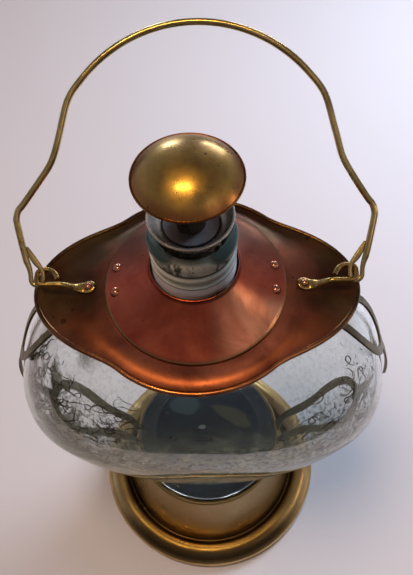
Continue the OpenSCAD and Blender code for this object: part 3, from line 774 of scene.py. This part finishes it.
UNDER_Z, ROOT_X = COLLAR_Z - SHEET - STRAP_HALF_T - 0.2, DRUM_TOP_R + 0.8
high_root = [(RIVET_X - 2.6, RIVET_Y, UNDER_Z), (RIVET_X + 2.5, RIVET_Y, UNDER_Z),
             (RIVET_X + 9, LEG_GAP_Y, UNDER_Z - 3)]
low_root = [(ROOT_X, 5.2, DRUM_H - 6.2), (ROOT_X, 5.2, DRUM_H - 1.6), (ROOT_X + 1.5, 5.7, DRUM_H + 4.5),
            (ROOT_X + 4.8, 6.4, DRUM_H + 12.5)]
high_tongue = [(2.6, 23.6), (2.2, 18.5), (1.7, 13), (1.2, 7), (0.6, 2), (0, 0)]
low_tongue = [(2.6, -21.6), (2.2, -16.5), (1.7, -11), (1.2, -6), (0.6, -1), (0, 1)]
for word, side in (("right", 1), ("left", -1)):
    make_strap("strap_band_" + word, side, "strap_" + word, 1, STRAP_HALF_W, high_root, [Z_AXIS],
               (62, 45), 40, 26, 11.2, high_tongue, 0.07)
    make_strap("strap_low_band_" + word, side, "strap_low_" + word, -1, LOW_STRAP_HALF_W, low_root,
               [(1, 0.12, 0)], (-59, -44), -38, -24, 13, low_tongue, 0.018)

# ---------------------------------------------------------------- lugs
HINGE_Y, HINGE_Z = 2.6, 236.4
RING_FRONT, RING_BACK, RING_END, RING_WIRE, RING_CORNER = -1.3, 5.7, 63.2, 1.0, 2.2


def make_lug(name, side, node):
    """A strip that lies on the plate, rises to the hinge's height and turns into a wire ring."""
    strip = [(x, RING_FRONT * smooth((x - 44) / 9),
              mix(collar_height(x, 0) + 0.62, HINGE_Z, smooth((x - 45) / 8.5)))
             for x in (40.6, 41.4, 43.2, 45.5, 48, 50.5, 53)]
    corner_x = RING_END - RING_CORNER
    ring = ([(56, RING_FRONT), (59, RING_FRONT)]
            + arc(corner_x, RING_FRONT + RING_CORNER, RING_CORNER, -90, 0, 5)
            + arc(corner_x, RING_BACK - RING_CORNER, RING_CORNER, 0, 90, 5)
            + [(59.2, RING_BACK), (57.4, RING_BACK - 0.7), (55.8, RING_BACK - 2.2), (54.7, 1.1)])
    knots = strip + [(x, y, HINGE_Z) for x, y in ring]
    sizes = [(1.4, 0.6), (2.3, 0.6), (2.8, 0.6), (2.4, 0.62), (1.8, 0.7), (1.35, 0.82), (1.1, 0.95)]
    sizes += [(RING_WIRE, RING_WIRE)] * len(ring)
    path = [p * np.array([side, 1, 1]) for p in curve(knots, 5)]
    strip_and_ring = swept(path, [Z_AXIS] * len(path), curve(sizes, 5), 20)
    piece(name, *strip_and_ring, "lamp", lug_brass, "lug_brass", [node])


make_lug("lug_strip_right", 1, "lug_right")
make_lug("lug_strip_left", -1, "lug_left")

# ---------------------------------------------------------------- burner and snuffer
TUBE_R, DISH_R, RIM_Z, DISH_FLOOR, DISH_FLOOR_R, LINER_H = 4.0, 15.1, 278.2, 272.7, 10.3, 0.6
FERRULE_R, FERRULE_H = 11.3, 2.3
dish_inside = curve([(DISH_FLOOR_R + 0.1, DISH_FLOOR + 0.02), (12.6, DISH_FLOOR + 2),
                     (DISH_R - 0.6, RIM_Z - 0.2)], 10)
dish_outside = curve([(14.2, DISH_FLOOR + 3.2), (13.1, DISH_FLOOR + 1.4), (11.5, DISH_FLOOR - 0.8),
                      (FERRULE_R, DISH_FLOOR - 1.2)], 5)
dish_profile = ([(TUBE_R, DISH_FLOOR), (DISH_FLOOR_R, DISH_FLOOR)] + [tuple(p) for p in dish_inside]
                + arc(DISH_R - 0.3, RIM_Z - 0.5, 0.5, 120, -120, 12) + [tuple(p) for p in dish_outside]
                + [(FERRULE_R, DISH_FLOOR - FERRULE_H), (TUBE_R, DISH_FLOOR - FERRULE_H)])
piece("dish", *lathe(dish_profile, 160), "burner", nickel, "nickel", ["burner_dish"])
piece("dish_disc", *lathe([(TUBE_R, DISH_FLOOR), (DISH_FLOOR_R, DISH_FLOOR), (DISH_FLOOR_R, DISH_FLOOR + 0.4),
                           (DISH_FLOOR_R - 0.2, DISH_FLOOR + LINER_H), (TUBE_R, DISH_FLOOR + LINER_H)], 128),
      "burner", liner_steel, "liner", ["dish_liner"])
DOME_R, DOME_Z, DOME_RISE, DOME_SHEET = 18.6, 297.7, 7.6, 0.9
STEM_GAP, STEM_WALL, STEM_TOP = 0.35, 0.9, DOME_Z + 4.5
ball = ((DOME_R - 0.6) ** 2 + DOME_RISE ** 2) / (2 * DOME_RISE)
tip = math.degrees(math.asin((DOME_R - 0.6) / ball))
top = DOME_Z + DOME_RISE
dome_profile = ([(0, top)] + arc(0, top - ball, ball, 90, 90 - tip, 48)[1:]
                + arc(DOME_R - 0.7, DOME_Z - 0.3, 0.7, 50, -150, 14)
                + arc(0, top - ball, ball - DOME_SHEET, 90 - tip, 90, 24)[:-1] + [(0, top - DOME_SHEET)])
piece("dome", *lathe(dome_profile, 256), "snuffer", dome_brass, "dome_brass", ["snuffer_dome"])
stem_r, low = TUBE_R + STEM_GAP, DISH_FLOOR + LINER_H
stem_profile = ([(stem_r, low)] + [(stem_r + STEM_WALL, mix(low, STEM_TOP, k / 6)) for k in range(7)]
                + [(stem_r, STEM_TOP)])
piece("stem", *lathe(stem_profile, 96), "snuffer", stem_brass, "burner_brass", ["snuffer_stem"])

# ---------------------------------------------------------------- bail
BAIL_LEAN, BAIL_WIRE, BOW_SKEW, HOOK_R = math.radians(55), 1.35, 1.4, 2.4
ELBOW_MIDDLE, ELBOW_R, TOP_MIDDLE, TOP_R = (62.5, 22.5), 8, 39.5, 58


def make_bail():
    """Points are (distance from the middle, distance from the hinge line) in the bail's own plane."""
    hook = ([(66.7, 11.8), (66, 10.2), (64.7, 7.6), (63.1, 5.2), (61.7, 3.4), (60.9, 1.6)]
            + arc(RING_END, -1.2, HOOK_R, 180, 360, 8) + [(65.65, 0.8), (66, 2.8), (66.6, 4.8)])
    bow = ([(67.4, 7.4)] + arc(*ELBOW_MIDDLE, ELBOW_R, -15, 50, 3) + [(61.5, 37.5), (57, 45), (54, 55)]
           + arc(0, TOP_MIDDLE, TOP_R, 30, 90, 6))
    hook_size = ([(0.35, 0.45), (0.8, 0.5), (1.25, 0.52), (1.25, 0.52), (1, 0.52), (0.9, 0.52)]
                 + [(0.95, 0.52)] * 4 + [(0.95, 0.6)] * 5 + [(0.95, 0.7), (1.05, 0.85), (1.2, 1.05)])
    knots = hook + bow + [(-x, s) for x, s in bow[-2::-1]] + [(-x, s) for x, s in hook[::-1]]
    sizes = hook_size + [(BAIL_WIRE, BAIL_WIRE)] * (2 * len(bow) - 1) + hook_size[::-1]
    flat, size = curve(knots, 5), curve(sizes, 5)
    lean = np.array([0, math.sin(BAIL_LEAN), math.cos(BAIL_LEAN)])
    across = np.array([0, math.cos(BAIL_LEAN), -math.sin(BAIL_LEAN)])
    path = [np.array([x + BOW_SKEW * smooth((s - 24) / 30), HINGE_Y, HINGE_Z]) + s * lean for x, s in flat]
    wire = swept(path, [across] * len(path), size, 20)
    piece("bail", *wire, "bail", bail_brass, "bail_brass", ["bail_handle"])


make_bail()

# ---------------------------------------------------------------- dried residue inside the glass
dice = random.Random(11)
THREAD_STEP, THREAD_INSET = 1.1, GLASS_WALL + 0.18
TURN_REACH, CLIMB_REACH = 60, 1.35  # millimetres along the glass for a radian round it and a degree up it
HALF_HEIGHT = 80


def unit_out(p):
    """Rough outward direction of the font at a point of its skin."""
    v = np.array([p[0] / HALF_X ** 2, p[1] / HALF_Y ** 2, (p[2] - MID_Z) / HALF_HEIGHT ** 2])
    return v / np.linalg.norm(v)


def thread(a, t, length, width):
    """One curling dried thread that lies on the inner face of the font."""
    heading, curl = dice.uniform(0, 2 * math.pi), dice.uniform(-0.5, 0.5)
    path = []
    for _ in range(max(4, int(length / THREAD_STEP))):
        path.append(np.array(skin_point(THREAD_INSET, t, a)))
        curl = 0.8 * curl + dice.gauss(0, 0.28)
        heading += curl
        a += THREAD_STEP * math.cos(heading) / TURN_REACH
        t = min(70, max(-60, t + THREAD_STEP * math.sin(heading) / CLIMB_REACH))
    n, size = len(path), []
    for i in range(n):
        taper = 0.35 + 0.65 * math.sin(math.pi * (i + 0.5) / n)
        size.append((width * taper * dice.uniform(0.7, 1.3),) * 2)
    return swept(path, [unit_out(p) for p in path], size, 5)


def scatter(count, centre, spread, height, length, width):
    """Threads about a direction in degrees; the others draw their meridian angle, length and radius."""
    return [thread(math.radians(dice.gauss(centre, spread)), height(), dice.uniform(*length),
                   dice.uniform(*width)) for _ in range(count)]


threads = []
for direction, amount in ((-155, 130), (-30, 56), (-125, 90)):
    threads += scatter(amount, direction, 15, lambda: dice.uniform(2, 42), (5, 22), (0.13, 0.3))
threads += scatter(800, -96, 44, lambda: dice.gauss(-3, 10), (2, 6), (0.14, 0.3))
piece("residue_threads", *join(threads), "lamp", grime, None)

# ---------------------------------------------------------------- CAD nodes that stay
kept_nodes = {"base_felt": felt, "base_weight": iron, "foot_pad": pad_painted_shade, "neck_gasket": rubber,
              "burner_plug": cork, "plug_washer": burner_brass, "tube_nut": burner_brass,
              "wick_tube": burner_brass, "wick": cotton, "snuffer_disc": dome_brass}
for name, material in kept_nodes.items():
    nodes[name].data.materials.clear()
    nodes[name].data.materials.append(material)

# ---------------------------------------------------------------- floor, light and camera
floor_look = Look("floor")
shade = floor_look.noise(2.2, 3.0, 0.5)
floor_colour = floor_look.blend(shade, (0.67, 0.67, 0.67), (0.73, 0.73, 0.73))
floor_shader = floor_look.add("BsdfPrincipled", Base_Color=floor_colour, Roughness=0.7,
                              Normal=floor_look.bump(floor_look.noise(300.0, 4.0), 0.06, 0.0005))
bpy.ops.mesh.primitive_plane_add(size=12)
floor = bpy.context.object
floor.name = "floor"
floor.data.materials.append(floor_look.surface(floor_shader.outputs[0]))
floor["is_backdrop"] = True

# Dark sheet on the floor in front of the lamp: a studio flag that only reflections and refractions meet.
bpy.ops.mesh.primitive_plane_add(size=1, location=(0, -0.64, 0.0006))
dark = bpy.context.object
dark.name = "dark_front"
dark.scale = (1.6, 1.0, 1.0)
dark.visible_camera = dark.visible_diffuse = dark.visible_shadow = False
dark_look = Look("dark_front")
dark_shader = dark_look.add("BsdfPrincipled", Base_Color=(0.035, 0.034, 0.036), Roughness=1.0)
dark.data.materials.append(dark_look.surface(dark_shader.outputs[0]))
dark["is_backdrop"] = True

world = bpy.data.worlds.new("studio")
bpy.context.scene.world = world
world.use_nodes = True
world.cycles_visibility.diffuse = False  # the softboxes light the floor; the sky is only reflected
sky = world.node_tree
where = sky.nodes.new("ShaderNodeSeparateXYZ")
sky.links.new(sky.nodes.new("ShaderNodeTexCoord").outputs["Generated"], where.inputs[0])


def sky_ramp(socket, stops):
    n = sky.nodes.new("ShaderNodeValToRGB")
    sky.links.new(socket, n.inputs[0])
    for element, (position, colour) in zip(n.color_ramp.elements, stops):
        element.position = position
        element.color = (*colour, 1)
    return n.outputs[0]


walls = sky_ramp(where.outputs[2], [(0.0, (0.42, 0.42, 0.50)), (0.75, (0.13, 0.115, 0.12))])
room = sky_ramp(where.outputs[2], [(0.0, (0.03, 0.025, 0.022)), (0.70, (0.24, 0.20, 0.185))])
# The sky behind the lamp is paler low down, and the one in front of it is a dim room.
behind = sky.nodes.new("ShaderNodeMapRange")
behind.interpolation_type = "SMOOTHSTEP"
sky.links.new(where.outputs[1], behind.inputs[0])
behind.inputs[1].default_value, behind.inputs[2].default_value = -0.55, 0.1
both = sky.nodes.new("ShaderNodeMix")
both.data_type = "RGBA"
sky.links.new(behind.outputs[0], both.inputs[0])
sky.links.new(room, both.inputs[6])
sky.links.new(walls, both.inputs[7])
sky.links.new(both.outputs[2], sky.nodes["Background"].inputs[0])


def softbox(name, place, target, size, power, colour, diffuse=True, glossy=True):
    """A soft lamp; with diffuse or glossy off, it doesn't light surfaces or doesn't show in them."""
    data = bpy.data.lights.new(name, "AREA")
    data.shape = "RECTANGLE"
    data.size, data.size_y = size
    data.energy = power
    data.color = colour
    obj = bpy.data.objects.new(name, data)
    obj.location = place
    obj.rotation_euler = (Vector(target) - Vector(place)).to_track_quat("-Z", "Y").to_euler()
    obj.visible_diffuse, obj.visible_glossy, obj.visible_transmission = diffuse, glossy, glossy
    bpy.context.scene.collection.objects.link(obj)


def toward(azimuth, elevation, distance):
    """A place seen from the collar in that direction, in degrees from +X and above the horizon."""
    a, e = math.radians(azimuth), math.radians(elevation)
    direction = (math.cos(a) * math.cos(e), math.sin(a) * math.cos(e), math.sin(e))
    return tuple(c + distance * d for c, d in zip(COLLAR_MIDDLE, direction))


COLLAR_MIDDLE, CENTRE, FLOOR_SPOT = (0, 0, 0.25), (0, 0, 0.22), (0.06, 0.12, 0)
softbox("sky_key", toward(45, 22, 0.7), FLOOR_SPOT, (0.315, 0.315), 5.3, (0.69, 0.78, 1.0), glossy=False)
softbox("warm_top", toward(185, 78, 1.2), FLOOR_SPOT, (0.5, 0.5), 12.2, (1.0, 0.735, 0.62), glossy=False)
softbox("ceiling_lamp", (-0.125, -0.075, 1.39), (-0.125, -0.075, 0), (0.42, 0.11), 4.4,
        (1.0, 0.63, 0.19), diffuse=False)
softbox("right_lamp", toward(-3, 24, 1.0), CENTRE, (0.16, 0.14), 0.42, (1.0, 0.72, 0.42), diffuse=False)
softbox("front_right", toward(-34, 44, 1.0), CENTRE, (0.42, 0.34), 0.32, (1.0, 0.76, 0.56), diffuse=False)
softbox("window_right", toward(72, 6, 1.6), CENTRE, (0.5, 0.13), 3.6, (0.9, 0.95, 1.0), diffuse=False)
softbox("window_left", toward(104, 4, 1.6), CENTRE, (0.28, 0.12), 3.0, (0.9, 0.95, 1.0), diffuse=False)

CAMERA_PLACE = (0.0102, -0.1389, 0.4571)
camera_data = bpy.data.cameras.new("camera")
camera_data.lens = 41.5
camera_data.sensor_width = 36
camera = bpy.data.objects.new("camera", camera_data)
yaw, pitch, roll = math.radians(-2.5), math.radians(58.52), math.radians(-3.08)  # pitch is downwards
forward = Vector((math.sin(yaw) * math.cos(pitch), math.cos(yaw) * math.cos(pitch), -math.sin(pitch)))
right = forward.cross(Vector((0, 0, 1))).normalized()
up = right.cross(forward)
right, up = math.cos(roll) * right + math.sin(roll) * up, -math.sin(roll) * right + math.cos(roll) * up
rows = [(right[i], up[i], -forward[i], CAMERA_PLACE[i]) for i in range(3)]
camera.matrix_world = Matrix((*rows, (0, 0, 0, 1)))
bpy.context.scene.collection.objects.link(camera)
bpy.context.scene.camera = camera
bpy.context.scene.view_settings.view_transform = "Standard"

low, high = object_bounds()
